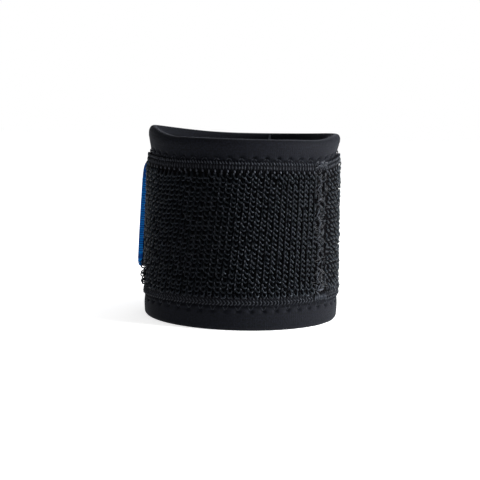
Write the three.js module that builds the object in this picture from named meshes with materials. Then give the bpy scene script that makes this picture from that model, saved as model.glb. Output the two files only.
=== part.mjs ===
// Wrist strap in millimetres: +Z runs along the forearm to the hand, -Y is the front of the wrist.
// A padded strip goes once round the wrist and overlaps itself at the back. A loop-pile elastic covers its
// outside, and a hooked tab on the outer end grips the loops on the left. It stands on its lower rim.
import * as THREE from "three";

// The wrist, an ellipse that grows from the hand to the forearm
const WRIST_HALF_WIDTH = 30.4;
const WRIST_HALF_DEPTH = 24;
const WRIST_TAPER = 0.045; // girth lost from the lower to the upper rim, as a share
const WRIST_AXIS = { x: 0.92, y: -3.04 }; // puts the origin under the middle of the strap's box

// Widths across the strap and thicknesses outward
const BAND_WIDTH = 65.2;
const PADDING = 3.5; // neoprene pressed under the elastic
const SEAT_GAP = 0.2; // between one layer and the next
const OVERLAP_GAP = 0.3; // between the loops and the outer end that lies on them
const ELASTIC_BOTTOM = 8.9;
const ELASTIC_TOP = 57.7;
const SELVEDGE_WIDTH = 2.6;
const SELVEDGE = 1.4;
const PILE = 2.1;
const EDGE_ROUND = 0.8; // rounding of the elastic's edges
const FOOT = { inner: 1.4, outer: 3 }; // the flat that the lower rim stands on
const RIM_FLARE = 0.5; // how far the upper rim leans out from the skin
const TAB_MIDDLE = 35.75;
const TAB_WIDTH = 39.3;
const TAB = 1;
const TAB_LIP = 0.7; // how much thicker the folded tip is, as a share
const TAB_CORNER = 6; // radius of the tip's corners
const HOOK_WIDTH = 34;
const HOOK = 0.6;

// Angles round the wrist in degrees: 0 right, 90 back, 180 left, 270 front. Past 360 is the second layer.
const BAND_SPAN = { from: 72, to: 488 };
const ELASTIC_SPAN = { from: 74, to: 486 };
const LIFT_SPAN = { from: 380, to: 430 }; // where the outer end climbs over the inner one
const TAB_SPAN = { from: 467, to: 541 };
const TAB_SLANT = 10; // how far the tip's upper corner stays behind its lower one
const TAB_LIP_SPAN = { from: 538.6, to: 540.2 }; // where the tip turns down past the hook tape
const TAB_DROP_SPAN = { from: 489, to: 511 }; // where the tab comes down off the outer end
const HOOK_SPAN = { from: 513, to: 537 };
const SEAM = { angle: 323, halfWidth: 9, crush: 0.6, lump: 0.5 }; // cross seam of the elastic

// How far the worn strap leaves a level ring, by angle: rise of the upper rim and of the elastic's two edges
const POSTURE = [
  { angle: 0, rim: 2.1, upper: 2.6, lower: 0.2 },
  { angle: 90, rim: 1, upper: 0.8, lower: 0 },
  { angle: 180, rim: 3.7, upper: 1.3, lower: -1 },
  { angle: 228, rim: 0.2, upper: 0.1, lower: -0.3 },
  { angle: 270, rim: 0, upper: 0.1, lower: 0 },
  { angle: 318, rim: 0, upper: -0.2, lower: 0.2 },
  { angle: 360, rim: 2.1, upper: 2.6, lower: 0.2 },
];

// Outer face of the neoprene, from the lower margin to the upper one
const BAND_FACE = [
  { height: 1.9, out: 4.4 },
  { height: 5, out: 4.65 },
  { height: 7.8, out: 4.35 },
  { height: 8.5, out: PADDING },
  { height: 58.1, out: PADDING },
  { height: 58.8, out: 3.9 },
  { height: 62.6, out: 4.9 },
];

const PILE_OUT = PADDING + SEAT_GAP + PILE;
const SELVEDGE_OUT = PADDING + SEAT_GAP + SELVEDGE;
const OVERLAP_LIFT = PILE_OUT + OVERLAP_GAP;

const { degToRad, inverseLerp, lerp, smoothstep } = THREE.MathUtils;

// Height at which a line across the flat strap ends up on the wrist
function worn(height, angle) {
  const turn = angle % 360;
  const next = POSTURE.findIndex((row) => row.angle > turn);
  const [low, high] = [POSTURE[next - 1], POSTURE[next]];
  const share = smoothstep(turn, low.angle, high.angle);
  const lines = [
    { height: 0, rise: 0 },
    { height: ELASTIC_BOTTOM, rise: lerp(low.lower, high.lower, share) },
    { height: ELASTIC_TOP, rise: lerp(low.upper, high.upper, share) },
    { height: BAND_WIDTH, rise: lerp(low.rim, high.rim, share) },
  ];
  const above = Math.max(1, lines.findIndex((line) => line.height >= height));
  const [under, over] = [lines[above - 1], lines[above]];
  return height + lerp(under.rise, over.rise, inverseLerp(under.height, over.height, height));
}

// A place at a height, a distance out from the skin and an angle round the wrist
function onWrist(height, out, angle) {
  const turn = degToRad(angle);
  const girth = 1 + WRIST_TAPER * (0.5 - height / BAND_WIDTH);
  const outward = new THREE.Vector2(WRIST_HALF_DEPTH * Math.cos(turn), WRIST_HALF_WIDTH * Math.sin(turn));
  outward.setLength(out);
  return new THREE.Vector3(
    WRIST_AXIS.x + girth * WRIST_HALF_WIDTH * Math.cos(turn) + outward.x,
    WRIST_AXIS.y + girth * WRIST_HALF_DEPTH * Math.sin(turn) + outward.y,
    height,
  );
}

const overlapLift = (angle) => OVERLAP_LIFT * smoothstep(angle, LIFT_SPAN.from, LIFT_SPAN.to);

// A flat section drawn as (height, out) is run along the strap's angles and then laid round the wrist
function wrap(name, section, span, steps, material, place) {
  const geometry = new THREE.ExtrudeGeometry(section, {
    depth: span.to - span.from,
    steps,
    bevelEnabled: false,
    curveSegments: 3,
  });
  const spots = geometry.getAttribute("position");
  for (let i = 0; i < spots.count; i += 1) {
    const spot = place(spots.getX(i), spots.getY(i), span.from + spots.getZ(i));
    spots.setXYZ(i, spot.x, spot.y, spot.z);
  }
  geometry.computeVertexNormals();
  const mesh = new THREE.Mesh(geometry, material);
  mesh.name = name;
  return mesh;
}

function bandSection() {
  const [first, last] = [BAND_FACE[0], BAND_FACE.at(-1)];
  const section = new THREE.Shape();
  section.moveTo(0, FOOT.inner);
  section.lineTo(0, FOOT.outer);
  section.quadraticCurveTo(0, first.out, first.height, first.out);
  for (const row of BAND_FACE.slice(1)) section.lineTo(row.height, row.out);
  section.quadraticCurveTo(BAND_WIDTH, last.out, BAND_WIDTH, FOOT.outer);
  section.quadraticCurveTo(BAND_WIDTH, RIM_FLARE, last.height, RIM_FLARE);
  section.lineTo(ELASTIC_TOP, 0);
  section.lineTo(FOOT.inner, 0);
  section.quadraticCurveTo(0, 0, 0, FOOT.inner);
  return section;
}

function elasticSection() {
  const [low, high] = [ELASTIC_BOTTOM, ELASTIC_TOP];
  const skin = PADDING + SEAT_GAP;
  const section = new THREE.Shape();
  section.moveTo(low, skin);
  section.lineTo(low, SELVEDGE_OUT - EDGE_ROUND);
  section.lineTo(low + EDGE_ROUND, SELVEDGE_OUT);
  section.lineTo(low + SELVEDGE_WIDTH, SELVEDGE_OUT);
  section.lineTo(low + SELVEDGE_WIDTH + EDGE_ROUND, PILE_OUT);
  section.lineTo(high - SELVEDGE_WIDTH - EDGE_ROUND, PILE_OUT);
  section.lineTo(high - SELVEDGE_WIDTH, SELVEDGE_OUT);
  section.lineTo(high - EDGE_ROUND, SELVEDGE_OUT);
  section.lineTo(high, SELVEDGE_OUT - EDGE_ROUND);
  section.lineTo(high, skin);
  return section;
}

// A flat slip of fabric with its long edges rounded over
function slipSection(middle, width, thickness) {
  const [low, high] = [middle - width / 2, middle + width / 2];
  const round = thickness / 3;
  const section = new THREE.Shape();
  section.moveTo(low + round, 0);
  section.lineTo(low, round);
  section.lineTo(low, thickness - round);
  section.lineTo(low + round, thickness);
  section.lineTo(high - round, thickness);
  section.lineTo(high, thickness - round);
  section.lineTo(high, round);
  section.lineTo(high - round, 0);
  return section;
}

// Share of the half width that is left towards the tip, whose corners are quarter circles
function cornerShare(angle) {
  const millimetresPerDegree = degToRad((WRIST_HALF_WIDTH + WRIST_HALF_DEPTH) / 2 + PILE_OUT);
  const intoCorner = Math.max(0, TAB_CORNER - (TAB_SPAN.to - angle) * millimetresPerDegree);
  const cut = TAB_CORNER - Math.sqrt(TAB_CORNER ** 2 - intoCorner ** 2);
  return 1 - (2 * cut) / TAB_WIDTH;
}

// The tab lies a little askew, so its upper corner stays behind
function slanted(height, angle) {
  const up = (height - TAB_MIDDLE) / TAB_WIDTH + 0.5;
  const laid = Math.max(0, inverseLerp(TAB_DROP_SPAN.to, TAB_SPAN.to, angle));
  return angle - TAB_SLANT * up * laid;
}

const fabric = (color, roughness) => new THREE.MeshStandardMaterial({ color, roughness, metalness: 0 });
const neoprene = fabric(0x1b1b1f, 0.85);
const yarn = fabric(0x0d0d0f, 0.6);
const blueWeave = fabric(0x053f7f, 0.7);
const hooks = fabric(0x111113, 0.6);

const band = wrap("neoprene_band", bandSection(), BAND_SPAN, 76, neoprene, (height, out, angle) =>
  onWrist(worn(height, angle), out + overlapLift(angle), angle),
);

const elastic = wrap("loop_elastic", elasticSection(), ELASTIC_SPAN, 76, yarn, (height, out, angle) => {
  const nearSeam = Math.max(0, 1 - Math.abs(angle - SEAM.angle) / SEAM.halfWidth);
  const onPile = out > (SELVEDGE_OUT + PILE_OUT) / 2;
  const onSelvedge = !onPile && out > SELVEDGE_OUT - EDGE_ROUND / 2;
  const crushed = onPile ? -SEAM.crush * nearSeam : 0;
  const lumped = onSelvedge ? SEAM.lump * nearSeam : 0;
  return onWrist(worn(height, angle), out + crushed + lumped + overlapLift(angle), angle);
});

const hookTape = wrap("hook_tape", slipSection(TAB_MIDDLE, HOOK_WIDTH, HOOK), HOOK_SPAN, 12, hooks,
  (height, out, angle) => onWrist(height, PILE_OUT + SEAT_GAP + out, slanted(height, angle)));

const tab = wrap("pull_tab", slipSection(TAB_MIDDLE, TAB_WIDTH, TAB), TAB_SPAN, 60, blueWeave,
  (height, out, angle) => {
    const dropped = smoothstep(angle, TAB_DROP_SPAN.from, TAB_DROP_SPAN.to);
    const lip = smoothstep(angle, TAB_LIP_SPAN.from, TAB_LIP_SPAN.to);
    const overHooks = (HOOK + SEAT_GAP) * (1 - lip);
    const floor = PILE_OUT + SEAT_GAP + lerp(OVERLAP_LIFT, overHooks, dropped);
    const narrowed = TAB_MIDDLE + (height - TAB_MIDDLE) * cornerShare(angle);
    return onWrist(narrowed, floor + out * (1 + TAB_LIP * lip), slanted(narrowed, angle));
  });

const strap = new THREE.Group();
strap.add(band, elastic, hookTape, tab);

export default strap;
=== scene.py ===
# %% [markdown]
# # A padded wrist strap
#
# The strap is a strip of black neoprene that is closed to a ring and overlaps itself at the back. A knitted
# elastic with a coarse pile of loops is sewn over it, and a blue tab with hooks grips those loops.
# Everything on it was cut flat and then bent, so the lesson works the same way: each piece is drawn flat, in
# millimetres along, across and out from the inner face, and one function lays it round the ring.

# %% Load the solid frame
import math

import bmesh
import bpy
import numpy as np
from mathutils import Matrix, Vector


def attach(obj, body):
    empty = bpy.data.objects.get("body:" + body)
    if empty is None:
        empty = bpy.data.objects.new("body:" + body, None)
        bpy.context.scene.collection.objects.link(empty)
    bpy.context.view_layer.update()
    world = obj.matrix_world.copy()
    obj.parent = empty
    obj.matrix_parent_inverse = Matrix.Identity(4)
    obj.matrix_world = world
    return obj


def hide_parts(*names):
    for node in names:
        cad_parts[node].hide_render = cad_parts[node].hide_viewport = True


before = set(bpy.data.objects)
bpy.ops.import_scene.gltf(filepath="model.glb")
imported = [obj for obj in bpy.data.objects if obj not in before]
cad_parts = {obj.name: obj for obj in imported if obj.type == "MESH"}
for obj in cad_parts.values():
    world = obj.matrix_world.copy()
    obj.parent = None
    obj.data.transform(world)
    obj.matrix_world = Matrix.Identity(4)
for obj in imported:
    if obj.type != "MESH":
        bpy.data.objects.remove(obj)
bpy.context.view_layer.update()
MM = 0.001
chance = np.random.default_rng(7)
print("solids:", sorted(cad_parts))

# %% [markdown]
# ## The ring that everything is laid round
#
# The inner face is an ellipse that widens towards the lower rim. The closed strap is not quite level: its
# upper rim rises a little at the sides, and the elastic sags on the left. A lattice could bend a flat model
# like this, but a formula also keeps track of lengths. Angles are in degrees: 0 is the right, 90 the back,
# 180 the left and 270 the front, and past 360 the strip lies over its own inner end.

# %% From flat millimetres to the ring
AXIS_X, AXIS_Y = 0.92, -3.04
HALF_WIDTH, HALF_DEPTH = 30.4, 24.0
TAPER = 0.045  # girth lost from the lower rim to the upper one, as a share
BAND_WIDTH = 65.2
ELASTIC_LOW, ELASTIC_HIGH = 8.9, 57.7
POSTURE = np.array([  # angle, then the rise of the upper rim and of the elastic's upper and lower edge
    (0, 2.1, 2.6, 0.2), (90, 1, 0.8, 0), (180, 3.7, 1.3, -1), (228, 0.2, 0.1, -0.3),
    (270, 0, 0.1, 0), (318, 0, -0.2, 0.2), (360, 2.1, 2.6, 0.2),
])


def ease(value, low, high):
    share = np.clip((value - low) / (high - low), 0, 1)
    return share * share * (3 - 2 * share)


def posed_height(height, angle):
    turn = np.mod(angle, 360)
    above = np.searchsorted(POSTURE[:, 0], turn, side="right")
    before, after = POSTURE[above - 1], POSTURE[above]
    share = ease(turn, before[..., 0], after[..., 0])[..., None]
    rim, upper, lower = np.moveaxis((before + (after - before) * share)[..., 1:], -1, 0)
    margin = np.clip(height / ELASTIC_LOW, 0, 1)
    middle = np.clip((height - ELASTIC_LOW) / (ELASTIC_HIGH - ELASTIC_LOW), 0, 1)
    top = np.clip((height - ELASTIC_HIGH) / (BAND_WIDTH - ELASTIC_HIGH), 0, 1)
    return height + lower * margin + (upper - lower) * middle + (rim - upper) * top


def on_ring(angle, height, out):
    angle, height, out = np.broadcast_arrays(*(np.asarray(v, float) for v in (angle, height, out)))
    turn = np.radians(angle)
    girth = 1 + TAPER * (0.5 - height / BAND_WIDTH)
    outward = np.stack([HALF_DEPTH * np.cos(turn), HALF_WIDTH * np.sin(turn)])
    outward *= out / np.hypot(*outward)
    return MM * np.stack([
        AXIS_X + girth * HALF_WIDTH * np.cos(turn) + outward[0],
        AXIS_Y + girth * HALF_DEPTH * np.sin(turn) + outward[1],
        height,
    ], axis=-1)


print("front centre of the inner face, in metres:", on_ring(270, BAND_WIDTH / 2, 0).round(4))

# %% [markdown]
# ## The strip and its overlap
#
# A strip is measured along its length, not in degrees, because stitches and loops keep their spacing where
# the ellipse bends tightly. At the back the outer end climbs over the inner one and its loops.

# %% The overlapping strip, measured along its length
STRIP_FROM, STRIP_TO = 72, 488
OVERLAP_LIFT, LIFT_FROM, LIFT_TO = 6.1, 380, 430
MEASURED_OUT, MEASURED_STEPS = 4.5, 1665  # lengths are taken on the outer face of the neoprene


def lift(angle):
    return OVERLAP_LIFT * ease(angle, LIFT_FROM, LIFT_TO)


path_angles = np.linspace(STRIP_FROM, STRIP_TO, MEASURED_STEPS)
path = on_ring(path_angles, BAND_WIDTH / 2, MEASURED_OUT + lift(path_angles)) / MM
path_along = np.concatenate([[0], np.cumsum(np.linalg.norm(np.diff(path, axis=0), axis=1))])
STRIP_LENGTH = path_along[-1]


def angle_at(along):
    return np.interp(along, path_along, path_angles)


def along_at(angle):
    return float(np.interp(angle, path_angles, path_along))


def on_strip(along, height, out):
    angle = angle_at(along)
    return on_ring(angle, posed_height(height, angle), out + lift(angle))


print(f"the strip is {STRIP_LENGTH:.1f} mm long, its front centre at {along_at(270):.1f} mm")

# %% [markdown]
# ## Finishes
#
# All the black on this strap is cloth, and black cloth is told apart by its shine and its texture, so each
# finish starts from the fibre it is made of. One small function adds a node, and one turns the sRGB colours
# that a picker shows into the linear values that the renderer works with.


# %% Colour and node helpers
def linear(hex_colour):
    channels = [int(hex_colour[i : i + 2], 16) / 255 for i in (1, 3, 5)]
    return (*(c / 12.92 if c <= 0.04045 else ((c + 0.055) / 1.055) ** 2.4 for c in channels), 1)


def add(tree, kind, inputs=None, **settings):
    made = tree.nodes.new(kind)
    for name, value in settings.items():
        setattr(made, name, value)
    for name, value in (inputs or {}).items():
        if isinstance(value, bpy.types.NodeSocket):
            tree.links.new(value, made.inputs[name])
        else:
            made.inputs[name].default_value = value
    return made


def finish(name):
    material = bpy.data.materials.new(name)
    material.use_nodes = True
    material.node_tree.nodes.clear()
    return material, material.node_tree


print(f"middle grey #808080 is {linear('#808080')[0]:.3f} in linear light")

# %% [markdown]
# ### Jersey on neoprene
#
# The foam is faced with a fine nylon jersey. It is matt and nearly black when seen square on, and its short
# fuzz catches a cool light at a low angle, which the sheen gives. The knit's stitches are about 0.4 mm, too
# fine to show in the render, so the stitch rows are drawn at 0.8 mm. On a map in millimetres the bands of a
# wave texture lie 0.314 divided by its scale apart.

# %% Jersey
JERSEY_WAVES = 0.39  # bands 0.8 mm apart
FUZZ = 1.6  # clumps of fuzz about 0.6 mm wide
jersey, tree = finish("neoprene_jersey")
flat_map = add(tree, "ShaderNodeUVMap", uv_map="flat")
stitch_rows = {"Vector": flat_map.outputs["UV"], "Scale": JERSEY_WAVES, "Distortion": 1.5}
lengthwise_rows = add(tree, "ShaderNodeTexWave", stitch_rows, bands_direction="X")
crosswise_rows = add(tree, "ShaderNodeTexWave", stitch_rows, bands_direction="Y")
knit = add(tree, "ShaderNodeMath", {
    0: lengthwise_rows.outputs["Fac"], 1: crosswise_rows.outputs["Fac"],
}, operation="MULTIPLY")
fuzz = add(tree, "ShaderNodeTexNoise", {"Vector": flat_map.outputs["UV"], "Scale": FUZZ, "Detail": 4})
relief = add(tree, "ShaderNodeMath", {0: knit.outputs[0], 1: fuzz.outputs["Fac"]}, operation="ADD")
bump = add(tree, "ShaderNodeBump", {"Height": relief.outputs[0], "Strength": 0.3, "Distance": 0.00015})
mottle = add(tree, "ShaderNodeMapRange", {"Value": fuzz.outputs["Fac"], "From Min": 0.38, "From Max": 0.62})
tone = add(tree, "ShaderNodeMix", {
    "Factor": mottle.outputs["Result"], "A": linear("#020305"), "B": linear("#0a0c13"),
}, data_type="RGBA")
surface = add(tree, "ShaderNodeBsdfPrincipled", {
    "Base Color": tone.outputs["Result"], "Roughness": 0.85, "Specular IOR Level": 0.08,
    "Sheen Weight": 0.045, "Sheen Roughness": 0.4, "Sheen Tint": linear("#e9eeff"),
    "Normal": bump.outputs["Normal"],
})
add(tree, "ShaderNodeOutputMaterial", {"Surface": surface.outputs["BSDF"]})
print(jersey.name)

# %% [markdown]
# ### Nylon yarn
#
# The loops are bundles of nylon filaments. Nylon is smooth, so even a black yarn shows a clear, slightly cold
# highlight along each bend. A number stored on each loop makes its yarn a little greyer: some loops are more
# rubbed than others, and on the left of the ring the number is painted fill light, where little lamp light
# falls. Patterns on the small yarns use Object coordinates, so their scale is per metre.

# %% Nylon yarn
FILAMENTS = 6000  # bundles of filaments about 0.17 mm wide
yarn, tree = finish("nylon_yarn")
rubbing_and_painted_light = add(tree, "ShaderNodeAttribute", attribute_name="painted_light_and_wear")
place = add(tree, "ShaderNodeTexCoord")
filaments = add(tree, "ShaderNodeTexNoise", {
    "Vector": place.outputs["Object"], "Scale": FILAMENTS, "Detail": 2,
})
bump = add(tree, "ShaderNodeBump", {"Height": filaments.outputs["Fac"], "Strength": 0.3, "Distance": 0.0001})
tone = add(tree, "ShaderNodeMix", {
    "Factor": rubbing_and_painted_light.outputs["Fac"], "A": linear("#020304"), "B": linear("#101217"),
}, data_type="RGBA")
surface = add(tree, "ShaderNodeBsdfPrincipled", {
    "Base Color": tone.outputs["Result"], "Roughness": 0.4, "Specular IOR Level": 0.2,
    "Specular Tint": linear("#daecff"), "Normal": bump.outputs["Normal"],
})
add(tree, "ShaderNodeOutputMaterial", {"Surface": surface.outputs["BSDF"]})
print(yarn.name)

# %% [markdown]
# ### Knitted ground of the elastic
#
# The ground holds the rubber threads and the feet of the loops. It lies deep in the pile, so it gives the eye
# hardly more than black gaps, and only its two selvedges are seen. Its black between them is partly its own
# and partly painted shade for those gaps. The selvedges are knitted closer and look greyer.

# %% Ground knit
GROUND_WAVES = 0.3  # ribs 1 mm apart
UPPER_SELVEDGE = (ELASTIC_HIGH - 3.4, ELASTIC_HIGH - 2.4)  # from the pile to the selvedge
LOWER_SELVEDGE = (ELASTIC_LOW + 3.2, ELASTIC_LOW + 2.2)
ground, tree = finish("elastic_ground_knit")
flat_map = add(tree, "ShaderNodeUVMap", uv_map="flat")
ribs = add(tree, "ShaderNodeTexWave", {
    "Vector": flat_map.outputs["UV"], "Scale": GROUND_WAVES, "Distortion": 2,
}, bands_direction="X")
bump = add(tree, "ShaderNodeBump", {"Height": ribs.outputs["Fac"], "Strength": 0.5, "Distance": 0.0003})
flat_place = add(tree, "ShaderNodeSeparateXYZ", {"Vector": flat_map.outputs["UV"]})
edges = [
    add(tree, "ShaderNodeMapRange", {"Value": flat_place.outputs["Y"], "From Min": start, "From Max": end})
    for start, end in (UPPER_SELVEDGE, LOWER_SELVEDGE)
]
selvedges = add(tree, "ShaderNodeMath", {
    0: edges[0].outputs["Result"], 1: edges[1].outputs["Result"],
}, operation="ADD")
# Painted shade: between the selvedges the ground is almost pure black, partly its own black and partly shade
# for the pile's deep gaps; the selvedges' greyer yarn is real
tone = add(tree, "ShaderNodeMix", {
    "Factor": selvedges.outputs[0], "A": linear("#020203"), "B": linear("#0c0d10"),
}, data_type="RGBA")
surface = add(tree, "ShaderNodeBsdfPrincipled", {
    "Base Color": tone.outputs["Result"], "Roughness": 0.9, "Specular IOR Level": 0.03,
    "Normal": bump.outputs["Normal"],
})
add(tree, "ShaderNodeOutputMaterial", {"Surface": surface.outputs["BSDF"]})
print(ground.name)

# %% [markdown]
# ### Spun polyester yarn
#
# The selvedges, the knots between the loops and the seam's zigzag are a spun polyester. Its cut fibres stand
# up from the yarn, so it is greyer and less glossy than the nylon loops, and the eye reads it as bright dots.

# %% Spun yarn
FIBRES = 5000  # fibre bundles about 0.2 mm wide
spun, tree = finish("spun_polyester_yarn")
# The stored number here is wear, and on the selvedge's edge row and one slant of the seam's zigzag it is
# painted light
rubbing_and_painted_light = add(tree, "ShaderNodeAttribute", attribute_name="painted_light_and_wear")
place = add(tree, "ShaderNodeTexCoord")
fibres = add(tree, "ShaderNodeTexNoise", {"Vector": place.outputs["Object"], "Scale": FIBRES, "Detail": 2})
bump = add(tree, "ShaderNodeBump", {"Height": fibres.outputs["Fac"], "Strength": 0.4, "Distance": 0.0001})
tone = add(tree, "ShaderNodeMix", {
    "Factor": rubbing_and_painted_light.outputs["Fac"], "A": linear("#06070a"), "B": linear("#22252b"),
}, data_type="RGBA")
surface = add(tree, "ShaderNodeBsdfPrincipled", {
    "Base Color": tone.outputs["Result"], "Roughness": 0.45, "Specular IOR Level": 0.3,
    "Specular Tint": linear("#e6eeff"), "Normal": bump.outputs["Normal"],
})
add(tree, "ShaderNodeOutputMaterial", {"Surface": surface.outputs["BSDF"]})
print(spun.name)

# %% [markdown]
# ### Sewing thread and frayed filament
#
# The edge stitches are a matt polyester thread: dark grey, with no highlight of its own. Where the elastic
# was cut, single filaments have frayed out of the yarn. They are so thin that light gets through them, and
# they look paler than the yarn that they came from.

# %% Sewing thread
PLY = 4000  # twisted plies about 0.25 mm wide
thread, tree = finish("polyester_thread")
place = add(tree, "ShaderNodeTexCoord")
ply = add(tree, "ShaderNodeTexNoise", {"Vector": place.outputs["Object"], "Scale": PLY, "Detail": 2})
tone = add(tree, "ShaderNodeMix", {
    "Factor": ply.outputs["Fac"], "A": linear("#14161a"), "B": linear("#2a2d33"),
}, data_type="RGBA")
bump = add(tree, "ShaderNodeBump", {"Height": ply.outputs["Fac"], "Strength": 0.4, "Distance": 0.0001})
surface = add(tree, "ShaderNodeBsdfPrincipled", {
    "Base Color": tone.outputs["Result"], "Roughness": 0.7, "Specular IOR Level": 0.1,
    "Normal": bump.outputs["Normal"],
})
add(tree, "ShaderNodeOutputMaterial", {"Surface": surface.outputs["BSDF"]})
print(thread.name)

# %% Frayed filament
CLUMPS = 3000  # clumps about 0.3 mm wide
fluff, tree = finish("frayed_filament")
place = add(tree, "ShaderNodeTexCoord")
clumps = add(tree, "ShaderNodeTexNoise", {"Vector": place.outputs["Object"], "Scale": CLUMPS})
tone = add(tree, "ShaderNodeMix", {
    "Factor": clumps.outputs["Fac"], "A": linear("#101216"), "B": linear("#2a2e35"),
}, data_type="RGBA")
surface = add(tree, "ShaderNodeBsdfPrincipled", {"Base Color": tone.outputs["Result"], "Roughness": 0.6})
add(tree, "ShaderNodeOutputMaterial", {"Surface": surface.outputs["BSDF"]})
print(fluff.name)

# %% [markdown]
# ### Blue weave and its thread
#
# The tab is a close polyester weave, and each crossing is a small pillow. Its colour is painted lighter on
# top of each pillow and darker in the dips, as painted light and shade over its bump. Its threads are about
# 0.8 mm apart and are drawn at 1.2 mm, because finer ones do not show in the render. The thread that is sewn
# round it is dyed to match, and its smooth filaments shine a little more.

# %% Blue weave
WEAVE_WAVES = 0.26  # threads 1.2 mm apart
FADING = 0.5  # paler and darker patches about 2 mm wide
blue, tree = finish("blue_polyester_weave")
flat_map = add(tree, "ShaderNodeUVMap", uv_map="flat")
threads = {"Vector": flat_map.outputs["UV"], "Scale": WEAVE_WAVES, "Distortion": 0.6}
warp = add(tree, "ShaderNodeTexWave", threads, bands_direction="X")
weft = add(tree, "ShaderNodeTexWave", threads, bands_direction="Y")
pillow = add(tree, "ShaderNodeMath", {0: warp.outputs["Fac"], 1: weft.outputs["Fac"]}, operation="MULTIPLY")
mottle = add(tree, "ShaderNodeTexNoise", {"Vector": flat_map.outputs["UV"], "Scale": FADING, "Detail": 3})
# Painted light: the raised tops of the pillows are coloured lighter and the dips darker, times the random
# fading
painted_pillow_light = add(tree, "ShaderNodeMapRange", {"Value": pillow.outputs[0], "From Min": 0.1, "From Max": 0.45})
painted_light_and_fading = add(tree, "ShaderNodeMath", {
    0: painted_pillow_light.outputs["Result"], 1: mottle.outputs["Fac"],
}, operation="MULTIPLY")
bump = add(tree, "ShaderNodeBump", {"Height": pillow.outputs[0], "Strength": 0.6, "Distance": 0.0003})
tone = add(tree, "ShaderNodeMix", {
    "Factor": painted_light_and_fading.outputs[0], "A": linear("#002e6a"), "B": linear("#0472bc"),
}, data_type="RGBA")
surface = add(tree, "ShaderNodeBsdfPrincipled", {
    "Base Color": tone.outputs["Result"], "Roughness": 0.8, "Specular IOR Level": 0.08,
    "Normal": bump.outputs["Normal"],
})
add(tree, "ShaderNodeOutputMaterial", {"Surface": surface.outputs["BSDF"]})
print(blue.name)

# %% Blue thread
blue_thread, tree = finish("blue_polyester_thread")
place = add(tree, "ShaderNodeTexCoord")
ply = add(tree, "ShaderNodeTexNoise", {"Vector": place.outputs["Object"], "Scale": PLY, "Detail": 2})
tone = add(tree, "ShaderNodeMix", {
    "Factor": ply.outputs["Fac"], "A": linear("#00286a"), "B": linear("#0058b4"),
}, data_type="RGBA")
surface = add(tree, "ShaderNodeBsdfPrincipled", {
    "Base Color": tone.outputs["Result"], "Roughness": 0.5, "Specular IOR Level": 0.2,
})
add(tree, "ShaderNodeOutputMaterial", {"Surface": surface.outputs["BSDF"]})
print(blue_thread.name)

# %% [markdown]
# ## Layers with a section
#
# The neoprene, the elastic's ground, the tab and its hook tape are all long slips with a drawn section. A
# curve with a bevel object could sweep one, but a flat grid is enough and keeps every point's place: its rows
# go once round the section, its columns go along the strip, and the first and last rows meet and are merged.
# The place on the flat strip is kept as the UV map, so patterns follow the cloth.


# %% A section laid along the strip
def lay_section(name, section, columns, length, place, material):
    rows = len(section)
    bm = bmesh.new()
    flat = bm.loops.layers.uv.new("flat")
    bmesh.ops.create_grid(bm, x_segments=columns, y_segments=rows, size=0.5)
    shares = np.array([v.co for v in bm.verts]) + 0.5
    ring = np.vstack([section, section[:1]])
    height, out = ring[np.rint(shares[:, 1] * rows).astype(int)].T
    spots = place(shares[:, 0], height, out)
    bm.verts.index_update()
    for face in bm.faces:
        face.smooth = True
        for corner in face.loops:
            i = corner.vert.index
            corner[flat].uv = (shares[i, 0] * length, height[i])
    for vert, spot in zip(bm.verts, spots):
        vert.co = spot
    bmesh.ops.remove_doubles(bm, verts=bm.verts, dist=1e-7)
    bmesh.ops.holes_fill(bm, edges=[e for e in bm.edges if e.is_boundary], sides=0)
    bmesh.ops.recalc_face_normals(bm, faces=bm.faces)
    mesh = bpy.data.meshes.new(name)
    bm.to_mesh(mesh)
    bm.free()
    mesh.set_sharp_from_angle(angle=math.radians(55))
    mesh.materials.append(material)
    piece = bpy.data.objects.new(name, mesh)
    bpy.context.collection.objects.link(piece)
    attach(piece, "root")
    print(f"{name}: {len(mesh.polygons)} faces")
    return piece


def bend(start, pull, end, steps=6):
    start, pull, end = (np.array(spot) for spot in (start, pull, end))
    t = np.linspace(0, 1, steps + 1)[1:, None]
    curve = (1 - t) ** 2 * start + 2 * t * (1 - t) * pull + t * t * end
    return [tuple(spot) for spot in curve]


# %% [markdown]
# ## The neoprene band
#
# The foam is about 4.5 mm thick at its margins and pressed thinner under the elastic, and the upper margin
# leans out to the rim. The zigzag stitches that hold the elastic pull a row of small pits into each margin,
# about 4 mm apart, and the foam swells between them. The pits could be sculpted. Here they are a bell curve
# on the fine grid, so they stay in step with the thread that is sewn into them later.

# %% Neoprene band
STITCH_PITCH = 4.3
STITCH_ROWS = {"upper": ELASTIC_HIGH + 1.1, "lower": ELASTIC_LOW - 1.9}
PIT_DEPTH, PIT_ALONG, PIT_ACROSS = 0.95, 0.6, 0.3  # mm, then a pit's squared reach along and across
SWELL = 0.10
PRESSED = 3.5  # thickness under the elastic
PIT_STEP = 0.35  # fine enough across the margins to show the pits

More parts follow.
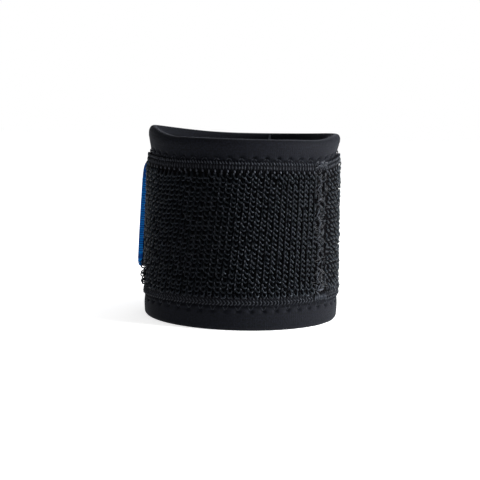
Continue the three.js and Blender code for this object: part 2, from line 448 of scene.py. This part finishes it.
lower_margin = np.arange(2.6, 7.9, PIT_STEP)
upper_margin = np.arange(58.65, 62.6, PIT_STEP)
band_section = [(0, 1.4), (0, 2.2), (0, 3.0), *bend((0, 3.0), (0, 4.5), (2.2, 4.5))]
band_section += [(h, 4.5 + 0.15 * math.sin((h - 2.2) / 5.7 * math.pi)) for h in lower_margin]
band_section += [(8.1, 4.25), (8.4, 3.8), *((h, PRESSED) for h in (8.6, 15, 34, 52, 58.0))]
band_section += [(58.2, 3.6), (58.4, 3.75), *((h, 3.85 + 1.05 * (h - 58.6) / 4.0) for h in upper_margin)]
band_section += bend((62.6, 4.9), (65.2, 5.1), (65.2, 3.0)) + bend((65.2, 3.0), (65.2, 0.6), (62.6, 0.5))
band_section += [(60, 0.25), *((h, 0) for h in (57, 45, 33, 20, 8, 1.6))]
band_section += bend((1.6, 0), (0, 0), (0, 1.4))[:-1]


def place_band(share, height, out):
    along = share * STRIP_LENGTH
    margin = out > PRESSED + 0.2
    beside = np.mod(along, STITCH_PITCH) - STITCH_PITCH / 2
    for row in STITCH_ROWS.values():
        away = (height - row) ** 2
        out = out - PIT_DEPTH * margin * np.exp(-(beside**2 / PIT_ALONG + away / PIT_ACROSS))
        out = out + SWELL * margin * np.abs(beside / STITCH_PITCH) * np.exp(-away / 2)
    return on_strip(along, height, out)


band = lay_section("neoprene_wrap", band_section, 700, STRIP_LENGTH, place_band, jersey)
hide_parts("neoprene_band")

# %% [markdown]
# ## The elastic's ground
#
# Under the loops is a thin knitted ground, a stock 50 mm wide. It is thicker at the two selvedges, and the
# loops stand on the lower part between them. It is sewn down flat all the way, so it needs no cloth
# simulation: the strip's own curve is its drape.

# %% Elastic ground
ELASTIC_FROM, ELASTIC_TO = along_at(74), along_at(486)
UNDERSIDE, GROUND, SELVEDGE = 3.7, 4.55, 5.0
SEAM = along_at(321)

low, high = ELASTIC_LOW, ELASTIC_HIGH
ground_section = [(low + 0.2, UNDERSIDE), (low + 0.1, 4.1), (low + 0.4, 4.6)]
ground_section += [(h, SELVEDGE) for h in np.linspace(low + 0.8, low + 2.5, 6)]
ground_section += [(h, GROUND) for h in np.linspace(low + 3.2, high - 3.2, 24)]
ground_section += [(h, SELVEDGE) for h in np.linspace(high - 2.5, high - 1.6, 4)]
ground_section += [(high - 1, 4.7), (high - 0.5, 4.35), (high - 0.1, 4.0), (high - 0.2, UNDERSIDE)]
ground_section += [(h, UNDERSIDE) for h in np.linspace(high - 4, low + 4, 8)]


def place_elastic(share, height, out):
    return on_strip(ELASTIC_FROM + share * (ELASTIC_TO - ELASTIC_FROM), height, out)


elastic = lay_section("elastic_ground", ground_section, 420, ELASTIC_TO - ELASTIC_FROM, place_elastic, ground)
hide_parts("loop_elastic")

# %% [markdown]
# ## Many small yarns
#
# Loops, selvedge floats and stitches are one small shape repeated thousands of times. The shape is modelled
# once with a few dozen faces. Its copies are then placed flat as arrays, each with its own size and lean, and
# laid round the ring together, which is far quicker than thousands of objects. Some ways of laying a copy
# mirror it, so the normals of the joined mesh are recalculated.


# %% Repeat a small shape along the strip
def shape_arrays(bm):
    bmesh.ops.triangulate(bm, faces=bm.faces)
    bm.verts.index_update()
    spots = np.array([v.co for v in bm.verts])
    faces = np.array([[v.index for v in f.verts] for f in bm.faces])
    bm.free()
    return spots, faces


def join_copies(name, faces, spots, wear_and_painted_light, material):
    copies, per_copy = spots.shape[:2]
    mesh = bpy.data.meshes.new(name)
    all_faces = (faces[None] + per_copy * np.arange(copies)[:, None, None]).reshape(-1, faces.shape[1])
    mesh.from_pydata(spots.reshape(-1, 3), [], all_faces)
    # The number stored on each copy is wear, and on some pieces painted light as well
    mesh.attributes.new("painted_light_and_wear", "FLOAT", "POINT").data.foreach_set("value", np.repeat(wear_and_painted_light, per_copy))
    bm = bmesh.new()
    bm.from_mesh(mesh)
    bmesh.ops.recalc_face_normals(bm, faces=bm.faces)
    bm.to_mesh(mesh)
    bm.free()
    mesh.shade_smooth()
    mesh.materials.append(material)
    piece = bpy.data.objects.new(name, mesh)
    bpy.context.collection.objects.link(piece)
    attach(piece, "root")
    print(f"{name}: {copies} copies, {len(mesh.polygons)} faces")
    return piece


# %% [markdown]
# ## The pile of loops
#
# Each loop is a hairpin of yarn: two legs rise from the ground and a half circle joins them. It could be a
# bevelled curve, but a six-sided ring that is spun through half a turn, with its ends extruded as legs, has
# few faces and a clean bend. The feet are closed, so each loop is a small solid.


# %% One loop
def hairpin(radius, yarn_radius, leg, spread, sides, steps):
    bm = bmesh.new()
    stand = Matrix.Translation((-radius, 0, 0))
    bmesh.ops.create_circle(bm, segments=sides, radius=yarn_radius, matrix=stand)
    bmesh.ops.spin(bm, geom=bm.edges[:], cent=(0, 0, 0), axis=(0, 1, 0), angle=math.pi, steps=steps)
    ends = [e for e in bm.edges if e.is_boundary]
    drawn = bmesh.ops.extrude_edge_only(bm, edges=ends)["geom"]
    feet = [g for g in drawn if isinstance(g, bmesh.types.BMVert)]
    bmesh.ops.translate(bm, vec=(0, 0, -leg), verts=feet)
    bmesh.ops.scale(bm, vec=(spread, 1, 1), verts=feet)
    bmesh.ops.translate(bm, vec=(0, 0, leg), verts=bm.verts)
    bmesh.ops.holes_fill(bm, edges=[e for e in bm.edges if e.is_boundary], sides=0)
    bmesh.ops.recalc_face_normals(bm, faces=bm.faces)
    return shape_arrays(bm)


loop, loop_faces = hairpin(radius=0.78, yarn_radius=0.27, leg=0.9, spread=1.1, sides=6, steps=6)
print(f"one loop: {len(loop_faces)} faces, {np.ptp(loop[:, 2]):.2f} mm tall")

# %% [markdown]
# ### How the pile is combed
#
# The loops stand in columns 2.2 mm apart and rows 1.6 mm apart, and every loop leans down. Handling has
# combed the pile differently round the strap: on the far left the loops slant, left of the middle they lie as
# open U shapes, and to the right they are twisted edge-on, so each column looks like a chain. Particles with
# a combed hair system could do this, but a short table of angles is easier to match.

# %% Where the loops stand
COLUMN, ROW = 2.2, 1.6
LAY = np.array([  # angle, slant of the columns, tilt, twist and lean of the loops, their width and length
    (190, 15, -32, -50, 74, 0.75, 1.00), (203, 12, -22, -30, 70, 0.75, 1.00),
    (215, 10, 8, 16, 64, 0.82, 1.00), (240, 7, 14, 20, 60, 0.84, 1.00),
    (262, 5, 16, 30, 62, 0.84, 0.95), (280, 4, 26, 58, 66, 0.80, 0.85),
    (300, 2, 31, 70, 70, 0.75, 0.80), (322, 2, 33, 70, 72, 0.75, 0.80),
    (400, 0, 30, 30, 62, 0.80, 1.00),
])
END_MARGIN = 1.5  # bare ground at both cut ends


def lay_at(angle):
    return [np.interp(angle, LAY[:, 0], column) for column in LAY.T[1:]]


columns = np.arange(ELASTIC_FROM + END_MARGIN, ELASTIC_TO - END_MARGIN, COLUMN)
rows = np.arange(ELASTIC_LOW + 4.4, ELASTIC_HIGH - 4.05, ROW)
along, height = (g.ravel() for g in np.meshgrid(columns, rows, indexing="ij"))
slant = lay_at(angle_at(along))[0]
along = along + (height - BAND_WIDTH / 2) * np.tan(np.radians(slant))
angle = angle_at(along)
print(f"{columns.size} columns of {rows.size} loops")

# %% [markdown]
# ### Loops that are not there
#
# A few loops were torn out at the cross seam. The tab presses the pile flat, its root is sewn down, and the
# inner end of the strip lies under the outer one: loops that can never be seen there are left out.

# %% Leave out hidden and torn loops
TAB_MIDDLE, TAB_WIDTH, TAB_TO = 35.75, 39.3, 541
TAB_SLANT = 10  # degrees that the upper corner of the tip stays behind the lower one
INNER_END_COVERED, TAB_ROOT = 124, 469
FAR_FROM_TAB = 30  # degrees, for loops above and below the tab

torn = (np.abs(along - SEAM) < 3) & (chance.random(along.size) < 0.1)
up_tab = (height - TAB_MIDDLE) / TAB_WIDTH + 0.5
level_with_tab = np.abs(up_tab - 0.5) < 0.49
past_tab = np.where(level_with_tab, angle + 360 - TAB_TO + TAB_SLANT * up_tab, FAR_FROM_TAB)
sewn_under = (angle > TAB_ROOT) & level_with_tab
off_end = (along < ELASTIC_FROM + END_MARGIN) | (along > ELASTIC_TO - END_MARGIN)
shown = (angle > INNER_END_COVERED) & (past_tab > -3) & ~sewn_under & ~torn & ~off_end
along, height, angle, past_tab = along[shown], height[shown], angle[shown], past_tab[shown]
count = along.size
print(count, "loops")

# %% [markdown]
# ### Worn places
#
# Loops are crushed along the seam and brushed flat to the right of it. By the left edge, below the tab, a few
# stand up as rings. The lowest row hangs as open U shapes over the selvedge, the rows above it are less
# twisted than the rest, and the highest row is longer.

# %% What has happened to each loop
crushed = np.exp(-(((along - SEAM) / 3.4) ** 4))
brushed = ease(along, SEAM + 2, SEAM + 5)
by_left_edge = (np.abs(angle - 187) < 8) & (np.abs(height - 15.5) < 4)
ruffled = by_left_edge & (chance.random(count) < 0.6)
pressed = ease(-past_tab, -1, 2)
low_rows = ease(-height, -ELASTIC_LOW - 12, -ELASTIC_LOW - 5)
lowest, highest = height < rows[0] + 0.1, height > rows[-1] - 0.1
print(f"{ruffled.sum()} loops stand up, {(crushed > 0.5).sum()} are crushed, {(brushed > 0.5).sum()} brushed")

# %% How each loop lies
LOWEST_TILT, LOWEST_TWIST, LOW_NARROW = 12, 10, 0.88
_, tilt, twist, leaning, narrow, long = lay_at(angle)
tilt = np.where(lowest, LOWEST_TILT, tilt * (1 - 0.2 * low_rows))
twist = np.where(lowest, LOWEST_TWIST, twist * (1 - 0.45 * low_rows))
narrow = narrow + (LOW_NARROW - narrow) * low_rows
long = long + (1 - long) * low_rows
height = height + 0.3 * highest
along = along + chance.normal(0, 0.07, count)
height = height + chance.normal(0, 0.09, count) + 0.15 * np.sin(along * 0.45)
lean = np.radians(chance.normal(0, 5, count) + np.where(ruffled, 20, leaning + 8 * crushed + 12 * brushed))
yaw = np.radians(chance.normal(0, 6, count) + chance.normal(0, 45, count) * crushed
                 + np.where(ruffled, 80, tilt + 20 * brushed))
roll = np.radians(chance.normal(0, 8, count) + np.where(ruffled, 0, twist))
size = chance.normal(1.0, 0.06, count) * (1 - 0.1 * crushed - 0.12 * brushed)
tall = size * long * (1 - 0.45 * pressed + 0.6 * brushed + 0.2 * highest)
narrow = np.where(ruffled, 0.9, narrow * (1 - 0.1 * brushed))
# Painted fill light: the term on the left of the ring greys the yarn below 245 degrees, fully below 215,
# where little lamp light falls; the other terms are wear
loop_wear_and_painted_fill = np.clip(chance.normal(0.18, 0.15, count) + 0.2 * crushed + 0.5 * brushed
                    + 0.3 * ease(-angle, -245, -215) + 0.3 * lowest, 0, 1)
loop_roots = np.stack([along - 0.8 + 0.2 * twist / 70, height - 0.05, angle])
print(f"mean lean {np.degrees(lean).mean():.0f} degrees, mean length {tall.mean():.2f} of the modelled loop")

# %% [markdown]
# ### Laying the loops down
#
# Each loop is twisted about its own length, then leaned down, then turned on the ground. An object would do
# this with three rotations. Here sines and cosines turn all the loops at once.

# %% Lay the loops
lean, yaw, roll, size, narrow, tall = (v[:, None] for v in (lean, yaw, roll, size, narrow, tall))
wide, thick, rise = size * narrow * loop[:, 0], size * loop[:, 1], tall * loop[:, 2]
x = wide * np.cos(roll) - thick * np.sin(roll)
y = wide * np.sin(roll) + thick * np.cos(roll)
down = rise * np.sin(lean) + y * np.cos(lean)
outward = rise * np.cos(lean) - y * np.sin(lean)
spots = on_strip(along[:, None] + x * np.cos(yaw) + down * np.sin(yaw),
                 height[:, None] - down * np.cos(yaw) + x * np.sin(yaw), GROUND + outward)
parts = np.array_split(np.arange(count), 3)
piles = [
    join_copies(f"pile_loops_{i + 1}", loop_faces, spots[part], loop_wear_and_painted_fill[part], yarn)
    for i, part in enumerate(parts)
]

# %% [markdown]
# ## Selvedges
#
# Along each edge the yarns run as short floats. The upper selvedge has a bright row of slanted floats on its
# edge, partly painted light: their yarn is coloured lighter where the neoprene margin above shades them. Then
# come fine upright ones, then a row of knots where the pile begins. The lower one is a herringbone: two rows
# of floats that lean opposite ways. A woven texture would look flat from the side, so each float is a small
# stretched ball.

# %% One float and its rows
bm = bmesh.new()
bmesh.ops.create_icosphere(bm, subdivisions=1, radius=1)
bmesh.ops.scale(bm, vec=(1, 0.42, 0.42), verts=bm.verts)
grain, grain_faces = shape_arrays(bm)

FLOATS = [  # height, pitch, half length, width, slant in degrees, out, wear and painted light
    # the edge row's greyer yarn is painted light, standing in for light that the neoprene margin shades off
    (ELASTIC_HIGH - 0.55, 1.07, 0.70, 0.60, -55, 4.85, 0.5),
    (ELASTIC_HIGH - 2.05, 1.07, 0.85, 0.40, -86, 4.98, 0.0),
    (ELASTIC_HIGH - 3.4, COLUMN, 0.60, 0.80, -78, 5.35, 0.6),
    (ELASTIC_LOW + 0.5, 1.2, 0.70, 0.42, 47, 5.09, 0.35),
    (ELASTIC_LOW + 1.5, 1.2, 0.84, 0.40, -50, 5.02, 0.35),
    (ELASTIC_LOW + 2.6, 1.2, 0.56, 0.36, -75, 4.9, 0.1),
]
FLOAT_STRAY = np.array([  # spread of the place along, height, out, half length, width, slant and of wear and painted light
    [0.05], [0.04], [0.04], [0.04], [0.02], [4], [0.12],
])
SEAM_CLEAR = 2.8  # no floats this near the seam


def lay_floats(name, along, height, out, half, width, slant, material, wear_and_painted_light):
    height, out, half, width, slant, wear_and_painted_light = (
        np.broadcast_to(v, along.shape) for v in (height, out, half, width, slant, wear_and_painted_light))
    x, y = grain[:, 0] * half[:, None], grain[:, 1] * width[:, None]
    c, s = np.cos(np.radians(slant))[:, None], np.sin(np.radians(slant))[:, None]
    spots = on_strip(along[:, None] + x * c - y * s, height[:, None] + x * s + y * c,
                     out[:, None] + grain[:, 2] * 0.5)
    return join_copies(name, grain_faces, spots, wear_and_painted_light, material)


lines = []
for height, pitch, half, width, slant, out, wear_and_painted_light in FLOATS:
    along = np.arange(ELASTIC_FROM + 0.8, ELASTIC_TO - 0.8, pitch)
    along = along[np.abs(along - SEAM) > SEAM_CLEAR]
    line = np.stack([along, *(np.full(along.size, v) for v in (height, out, half, width, slant, wear_and_painted_light))])
    lines.append(line + chance.normal(0, 1, line.shape) * FLOAT_STRAY)
along, height, out, half, width, slant, wear_and_painted_light = np.hstack(lines)
selvedge = lay_floats("selvedge_floats", along, height, out, half, width, slant, spun, wear_and_painted_light)

# %% [markdown]
# ## Knots and wales between the loops
#
# From the middle to the right, where the loops turn edge-on, the knit that holds them shows between the
# columns: a chain of dark yarn up each column, the wale, and a knot of spun yarn at most loops. Both are
# floats again, stood upright at the loops' roots.

# %% Knots and wales
root_along, root_height, root_angle = loop_roots
knotted = ease(root_angle, 220, 260) * (1 - brushed) * ~lowest
in_wale = (knotted > 0.4) & (root_along < SEAM - 2.6)
has_knot = chance.random(count) < 0.8 * knotted
knots = lay_floats("pile_knots", root_along[has_knot], root_height[has_knot],
                   5.5, 0.50, 0.62, -84, spun, 0.2)
wales = lay_floats("pile_wales", root_along[in_wale], root_height[in_wale] - 0.5,
                   5.0, 0.95, 0.52, -88, yarn, 0.0)

# %% [markdown]
# ## Stitches along the edges
#
# A zigzag of black thread holds each edge of the elastic: it goes down through the neoprene in a pit and
# comes up through the selvedge. Only its two slanted legs at each pit are seen, and each leg is one float.

# %% Edge stitches
THREAD_WIDTH, LEG_RUN = 0.3, 1.1
LEG_TOPS = {"upper": (ELASTIC_HIGH + 0.1, 4.1), "lower": (ELASTIC_LOW - 0.1, 4.38)}  # height and out
holes = np.arange(STITCH_PITCH / 2, STRIP_LENGTH - 1, STITCH_PITCH)
legs = []
for row, (edge, out) in LEG_TOPS.items():
    rise = edge - STITCH_ROWS[row]
    for run in (-LEG_RUN, LEG_RUN):
        half, slant = math.hypot(run, rise) / 2, math.degrees(math.atan2(rise, run))
        legs += [(hole + run / 2, STITCH_ROWS[row] + rise / 2, out, half, slant) for hole in holes]
along, height, out, half, slant = np.array(legs).T
edge_stitches = lay_floats("edge_stitches", along, height, out, half, THREAD_WIDTH, slant, thread, 0.0)

# %% [markdown]
# ## The cross seam
#
# On the right the elastic's two ends are joined. A zigzag of spun yarn runs up the seam, coils of it close
# the upper end, a bar of close stitches locks the lower one, and the cut ends fray along it. Coils and frayed
# ends use the hairpin again, laid flat and turned at random.

# %% Coils at the upper end
coil, coil_faces = hairpin(radius=0.6, yarn_radius=0.16, leg=0.6, spread=1.0, sides=6, steps=6)


def lay_hairpins(name, shape, faces, along, height, out, size, turn, tip, material, wear_and_painted_light):
    x, y = shape[:, 0] * size[:, None], shape[:, 2] * size[:, None]
    c, s = np.cos(np.radians(turn))[:, None], np.sin(np.radians(turn))[:, None]
    spots = on_strip(along[:, None] + x * c - y * s, height[:, None] + x * s + y * c,
                     out[:, None] + shape[:, 1] + tip * y)
    return join_copies(name, faces, spots, wear_and_painted_light, material)


across_seam = np.linspace(-2.6, 2.8, 7)
along = SEAM + np.concatenate([across_seam, across_seam + 0.4])
height = np.repeat([ELASTIC_HIGH - 0.9, ELASTIC_HIGH - 2.4], across_seam.size)
coils = along.size
seam_coils = lay_hairpins(
    "seam_coils", coil, coil_faces, along + chance.normal(0, 0.15, coils),
    height + chance.normal(0, 0.25, coils), out=chance.normal(5.05, 0.1, coils),
    size=chance.normal(1, 0.15, coils), turn=chance.normal(30, 30, coils), tip=0.25, material=spun,
    wear_and_painted_light=chance.uniform(0.1, 0.5, coils),
)

# %% Zigzag up the seam
TOOTH_PITCH, TOOTH_WIDTH = 2.2, 2.1
teeth = np.arange(ELASTIC_LOW + 2, ELASTIC_HIGH - 6, TOOTH_PITCH)
side = np.where(np.arange(teeth.size) % 2, 1.0, -1.0)
slant = np.degrees(np.arctan2(TOOTH_PITCH, TOOTH_WIDTH)) * side + chance.normal(0, 10, teeth.size)
# Painted light: teeth that slant one way get a lighter yarn than those that slant the other, though it is one
# thread
zigzag = lay_floats(
    "seam_zigzag", SEAM - 1.7 + chance.normal(0, 0.25, teeth.size), teeth + TOOTH_PITCH / 2, 6.15,
    chance.normal(1.6, 0.2, teeth.size), 0.5, slant, spun, np.where(side > 0, 1.0, 0.5),
)

# %% Bar of stitches at the lower end, with one stitch across above it
bar = np.arange(-2.3, 2.9, 0.85)
one = np.ones_like(bar)
bartack = lay_floats(
    "seam_bartack", SEAM + np.append(bar, -0.6), ELASTIC_LOW + np.append(1.6 * one, 4.4),
    np.append(5.5 * one, 6.1), np.append(chance.normal(1.3, 0.08, bar.size), 1.9),
    np.append(0.48 * one, 0.9), np.append(chance.normal(82, 4, bar.size), 3), spun, np.append(one, 0.9),
)

# %% Frayed ends along the seam
ENDS, ENDS_ON_LEFT = 105, 55
strand, strand_faces = hairpin(radius=0.3, yarn_radius=0.07, leg=1.7, spread=1.8, sides=3, steps=4)
along = SEAM + np.where(np.arange(ENDS) < ENDS_ON_LEFT, -1.3, 1.3) + chance.normal(0, 0.8, ENDS)
height = chance.uniform(ELASTIC_LOW + 4, ELASTIC_HIGH - 2, ENDS)
frayed = lay_hairpins(
    "frayed_ends", strand, strand_faces, along, height,
    out=np.where(along < SEAM, 5.6, 5.2) + chance.uniform(-0.2, 0.2, ENDS),
    size=chance.uniform(0.4, 0.9, ENDS), turn=chance.uniform(0, 360, ENDS), tip=0.12, material=fluff,
    wear_and_painted_light=np.zeros(ENDS),
)

# %% [markdown]
# ## The pull tab and its hook tape
#
# The tab is sewn on the outer end of the strap, comes down off it and lies on the loops, where the hook tape
# under it holds. Its tip has round corners and a folded lip. The corners could be cut with a boolean, but
# narrowing the width along a quarter circle keeps the grid whole and the weave straight.

# %% The tab's measures
TAB_THICK, TAB_CORNER, TAB_LIP = 1.0, 6.0, 0.7
TAB_FROM, DROP_FROM, DROP_TO = 467, 489, 511  # root, then where it comes down off the outer end
LIP_FROM, LIP_TO = 538.6, 540.2
HOOK_WIDTH, HOOK_THICK, HOOK_FROM, HOOK_TO = 34.0, 0.6, 513, 537
PILE_TOP, SEAT = 5.8, 0.2
MM_PER_DEGREE = math.radians((HALF_WIDTH + HALF_DEPTH) / 2 + PILE_TOP)
tab_length = (TAB_TO - TAB_FROM) * MM_PER_DEGREE
hook_length = (HOOK_TO - HOOK_FROM) * MM_PER_DEGREE
print(f"the tab reaches {tab_length:.1f} mm round the strap, its hook tape {hook_length:.1f} mm")


# %% Tab and hook tape
def slip(middle, width, thick):
    low, high, r = middle - width / 2, middle + width / 2, thick * 0.45
    face = [(h, thick) for h in np.linspace(low + 2 * r, high - 2 * r, 24)]
    under = [(h, 0) for h in np.linspace(high - 2 * r, low + 2 * r, 24)]
    return [(low + r, 0), *bend((low + r, 0), (low, 0), (low, r), 3),
            *bend((low, thick - r), (low, thick), (low + r, thick), 3), *face, (high - r, thick),
            *bend((high - r, thick), (high, thick), (high, thick - r), 3),
            *bend((high, r), (high, 0), (high - r, 0), 3), *under]


def slanted(height, angle):
    up = (height - TAB_MIDDLE) / TAB_WIDTH + 0.5
    return angle - TAB_SLANT * up * np.maximum(0, (angle - DROP_TO) / (TAB_TO - DROP_TO))


def place_tab(share, height, out):
    angle = TAB_FROM + share * (TAB_TO - TAB_FROM)
    into = np.maximum(0, TAB_CORNER - (TAB_TO - angle) * MM_PER_DEGREE)
    cut = TAB_CORNER - np.sqrt(TAB_CORNER**2 - into**2)
    dropped = ease(angle, DROP_FROM, DROP_TO)
    lip = ease(angle, LIP_FROM, LIP_TO)
    seat = PILE_TOP + SEAT + OVERLAP_LIFT * (1 - dropped) + (HOOK_THICK + SEAT) * (1 - lip) * dropped
    height = TAB_MIDDLE + (height - TAB_MIDDLE) * (1 - 2 * cut / TAB_WIDTH)
    return on_ring(slanted(height, angle), height, seat + out * (1 + TAB_LIP * lip))


def place_hooks(share, height, out):
    angle = HOOK_FROM + share * (HOOK_TO - HOOK_FROM)
    return on_ring(slanted(height, angle), height, PILE_TOP + SEAT + out)


tab_section = slip(TAB_MIDDLE, TAB_WIDTH, TAB_THICK)
tab = lay_section("blue_pull_tab", tab_section, 120, tab_length, place_tab, blue)
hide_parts("pull_tab")
hook_section = slip(TAB_MIDDLE, HOOK_WIDTH, HOOK_THICK)
hooks = lay_section("hook_slip", hook_section, 40, hook_length, place_hooks, ground)
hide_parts("hook_tape")

# %% [markdown]
# ## Stitches round the tab
#
# A row of blue stitches runs round the tab a little inside its edge, and one more crosses it where it is sewn
# to the outer end of the strap. Each stitch is the same small ball as before, laid along or across, and the
# tab's own placing function bends the row with the cloth.

# %% Tab stitches
STITCH, INSET = 2.6, 1.8
SEWN_ACROSS = 485
HALF_STITCH, STITCH_WIDTH, STITCH_PROUD = 1.0, 0.6, 0.35
start, tip = TAB_FROM + INSET / MM_PER_DEGREE, TAB_TO - INSET / MM_PER_DEGREE
low, high = TAB_MIDDLE - TAB_WIDTH / 2 + INSET, TAB_MIDDLE + TAB_WIDTH / 2 - INSET
lengthwise = np.arange(start, tip, STITCH / MM_PER_DEGREE)
crosswise = np.arange(low + STITCH / 2, high, STITCH)
angle = np.concatenate([lengthwise, lengthwise, np.repeat([start, SEWN_ACROSS, tip], crosswise.size)])
height = np.concatenate([np.repeat([low, high], lengthwise.size), np.tile(crosswise, 3)])
runs_along = (np.arange(angle.size) < 2 * lengthwise.size)[:, None]
x = np.where(runs_along, HALF_STITCH * grain[:, 0], STITCH_WIDTH * grain[:, 1])
y = np.where(runs_along, STITCH_WIDTH * grain[:, 1], HALF_STITCH * grain[:, 0])
share = (angle[:, None] + x / MM_PER_DEGREE - TAB_FROM) / (TAB_TO - TAB_FROM)
spots = place_tab(share, height[:, None] + y, TAB_THICK + STITCH_PROUD * grain[:, 2])
tab_stitches = join_copies("tab_stitches", grain_faces, spots, 0 * angle, blue_thread)

# %% [markdown]
# ## Studio
#
# Black cloth on white needs care: a plain white room would wash it out. The floor glows like a light table,
# and the world is white to the camera but gives almost no light. A soft light on the right draws the loops by
# their highlights, a small one in front fills the left, and a weak one from above and one from behind keep
# the rims readable.

# %% Floor
FLOOR_HALF, FLOOR_GLOW = 3, 0.7
PULP = 300  # flecks about 3 mm wide
bm = bmesh.new()
bmesh.ops.create_grid(bm, x_segments=1, y_segments=1, size=FLOOR_HALF)
mesh = bpy.data.meshes.new("studio_floor")
bm.to_mesh(mesh)
bm.free()
paper, tree = finish("white_paper")
place = add(tree, "ShaderNodeTexCoord")
pulp = add(tree, "ShaderNodeTexNoise", {"Vector": place.outputs["Object"], "Scale": PULP})
tone = add(tree, "ShaderNodeMix", {
    "Factor": pulp.outputs["Fac"], "A": linear("#f6f6f6"), "B": linear("#fbfbfb"),
}, data_type="RGBA")
surface = add(tree, "ShaderNodeBsdfPrincipled", {
    "Base Color": tone.outputs["Result"], "Roughness": 0.9,
    "Emission Color": linear("#ffffff"), "Emission Strength": FLOOR_GLOW,
})
add(tree, "ShaderNodeOutputMaterial", {"Surface": surface.outputs["BSDF"]})
mesh.materials.append(paper)
floor = bpy.data.objects.new("studio_floor", mesh)
bpy.context.collection.objects.link(floor)
print(floor.name, paper.name)

# %% White surroundings
scene = bpy.context.scene
world = bpy.data.worlds.new("white_studio")
world.use_nodes = True
tree = world.node_tree
tree.nodes.clear()
seen = add(tree, "ShaderNodeLightPath")
dim = add(tree, "ShaderNodeBackground", {"Color": (1, 1, 1, 1), "Strength": 0.03})
white = add(tree, "ShaderNodeBackground", {"Color": (1, 1, 1, 1), "Strength": 1.0})
backdrop = add(tree, "ShaderNodeMixShader", {
    0: seen.outputs["Is Camera Ray"], 1: dim.outputs[0], 2: white.outputs[0],
})
add(tree, "ShaderNodeOutputWorld", {"Surface": backdrop.outputs[0]})
scene.world = world
scene.view_settings.view_transform = "Standard"
print(world.name, scene.view_settings.view_transform)

# %% Lights
LIGHT_AIM = Vector((0, 0, 0.03))
LIGHTS = [  # name, place, width, power in watts
    ("soft_right", (0.64, -0.14, 0.14), 0.22, 15.2),
    ("soft_left", (-0.45, 0.40, 0.10), 0.40, 0.4),
    ("soft_front", (-0.20, -0.75, 0.18), 0.14, 2.1),
]
for name, spot, width, power in LIGHTS:
    lamp = bpy.data.lights.new(name, "AREA")
    lamp.size, lamp.energy = width, power
    holder = bpy.data.objects.new(name, lamp)
    holder.location = spot
    holder.rotation_euler = (LIGHT_AIM - Vector(spot)).to_track_quat("-Z", "Y").to_euler()
    bpy.context.collection.objects.link(holder)
overhead = bpy.data.objects.new("overhead", bpy.data.lights.new("overhead", "SUN"))
overhead.data.energy, overhead.data.angle = 1.1, math.radians(60)
overhead.rotation_euler = (math.radians(-16), math.radians(18), 0)
bpy.context.collection.objects.link(overhead)
print([light[0] for light in LIGHTS], overhead.name)

# %% [markdown]
# ## Camera
#
# A long lens a third of a metre away keeps the ring's perspective mild. The camera stands just above the
# upper rim and looks slightly down, and a roll of just over a degree gives the strap its slight tilt.

# %% Camera
CAMERA_DISTANCE, CAMERA_RISE, CAMERA_ROLL = 0.330, 6.85, 1.33  # metres, then degrees
centre = Vector((AXIS_X, AXIS_Y, 33.2)) * MM
aim = centre + Vector((-0.76, 0, -5.7)) * MM
rise = math.radians(CAMERA_RISE)
camera = bpy.data.objects.new("camera", bpy.data.cameras.new("camera"))
camera.data.lens, camera.data.sensor_width = 67.3, 36.0
camera.data.clip_start = 0.01
camera.location = centre + CAMERA_DISTANCE * Vector((0, -math.cos(rise), math.sin(rise)))
level = (aim - camera.location).to_track_quat("-Z", "Y").to_matrix()
camera.rotation_euler = (level @ Matrix.Rotation(math.radians(CAMERA_ROLL), 3, "Z")).to_euler()
bpy.context.collection.objects.link(camera)
scene.camera = camera
print("camera at", camera.location)
